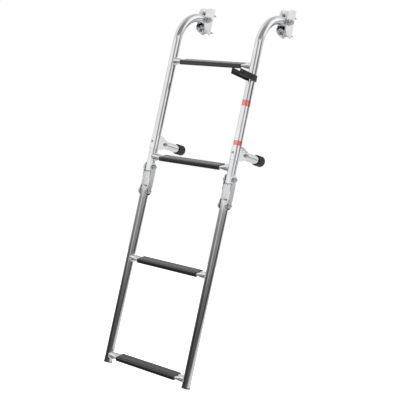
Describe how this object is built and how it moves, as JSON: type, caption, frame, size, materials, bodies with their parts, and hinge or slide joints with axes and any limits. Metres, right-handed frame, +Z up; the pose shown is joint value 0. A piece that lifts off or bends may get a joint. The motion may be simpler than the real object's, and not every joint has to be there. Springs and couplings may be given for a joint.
{
  "type": "folding boat boarding ladder",
  "caption": "Folding boarding ladder: polished side tubes bent over at the top to hull brackets, ribbed treads, a fold-up lower section, swing-away standoffs and a storage clip.",
  "frame": {"origin": "on the hull face, midway between the two hull brackets and level with their pivot bolts", "axes": "+X to the right for someone in the water facing the hull, +Y into the hull, +Z up along the side tubes"},
  "size_m": [0.3684, 0.2477, 1.1613],
  "materials": {
    "polished_tube": "mirror-polished stainless steel tube",
    "polished_plate": "polished pressed stainless plate",
    "fastener": "turned stainless",
    "tread_plastic": "ribbed matte",
    "clip_plastic": "fine diagonal grain",
    "rubber": "matte moulded",
    "label_film": "glossy film with a coloured band at each end"
  },
  "bodies": {
    "hull_brackets": {"left_hull_bracket": "polished_plate", "left_bracket_bolt": "fastener", "left_bracket_nut": "fastener", "left_upper_mounting_screw": "fastener", "left_lower_mounting_screw": "fastener", "right_hull_bracket": "polished_plate", "right_bracket_bolt": "fastener", "right_bracket_nut": "fastener", "right_upper_mounting_screw": "fastener", "right_lower_mounting_screw": "fastener"},
    "upper_section": {"left_upper_stile": "polished_tube", "right_upper_stile": "polished_tube", "top_rung": "polished_tube", "top_tread": "tread_plastic", "second_rung": "polished_tube", "second_tread": "tread_plastic", "storage_clip": "clip_plastic", "side_label": "label_film", "left_standoff_bracket": "polished_plate", "left_standoff_screw": "fastener", "left_standoff_bolt": "fastener", "left_standoff_nut": "fastener", "right_standoff_bracket": "polished_plate", "right_standoff_screw": "fastener", "right_standoff_bolt": "fastener", "right_standoff_nut": "fastener"},
    "hinge_links": {"left_hinge_link": "polished_plate", "left_upper_hinge_bolt": "fastener", "left_upper_hinge_nut": "fastener", "left_lower_hinge_bolt": "fastener", "left_lower_hinge_nut": "fastener", "right_hinge_link": "polished_plate", "right_upper_hinge_bolt": "fastener", "right_upper_hinge_nut": "fastener", "right_lower_hinge_bolt": "fastener", "right_lower_hinge_nut": "fastener"},
    "lower_section": {"left_lower_stile": "polished_tube", "right_lower_stile": "polished_tube", "left_stile_dome": "polished_tube", "right_stile_dome": "polished_tube", "left_foot_plug": "rubber", "right_foot_plug": "rubber", "third_rung": "polished_tube", "third_tread": "tread_plastic", "bottom_rung": "polished_tube", "bottom_tread": "tread_plastic"},
    "left_standoff": {"left_standoff_tube": "polished_tube", "left_standoff_pad": "rubber"},
    "right_standoff": {"right_standoff_tube": "polished_tube", "right_standoff_pad": "rubber"}
  },
  "joints": [
    {"name": "ladder_swing", "type": "hinge", "parent": "hull_brackets", "child": "upper_section", "pos_m": [0, -0.03, 0], "axis": [-1, 0, 0], "range_deg": [0, 90]},
    {"name": "link_fold", "type": "hinge", "parent": "upper_section", "child": "hinge_links", "pos_m": [0, -0.134, -0.503], "axis": [-1, 0, 0], "range_deg": [0, 90]},
    {"name": "lower_fold", "type": "hinge", "parent": "hinge_links", "child": "lower_section", "pos_m": [0, -0.134, -0.579], "axis": [-1, 0, 0], "range_deg": [0, 90]},
    {"name": "left_standoff_pivot", "type": "hinge", "parent": "upper_section", "child": "left_standoff", "pos_m": [-0.156, -0.101, -0.425], "axis": [-1, 0, 0], "range_deg": [-90, 90]},
    {"name": "right_standoff_pivot", "type": "hinge", "parent": "upper_section", "child": "right_standoff", "pos_m": [0.156, -0.101, -0.425], "axis": [-1, 0, 0], "range_deg": [-90, 90]}
  ]
}
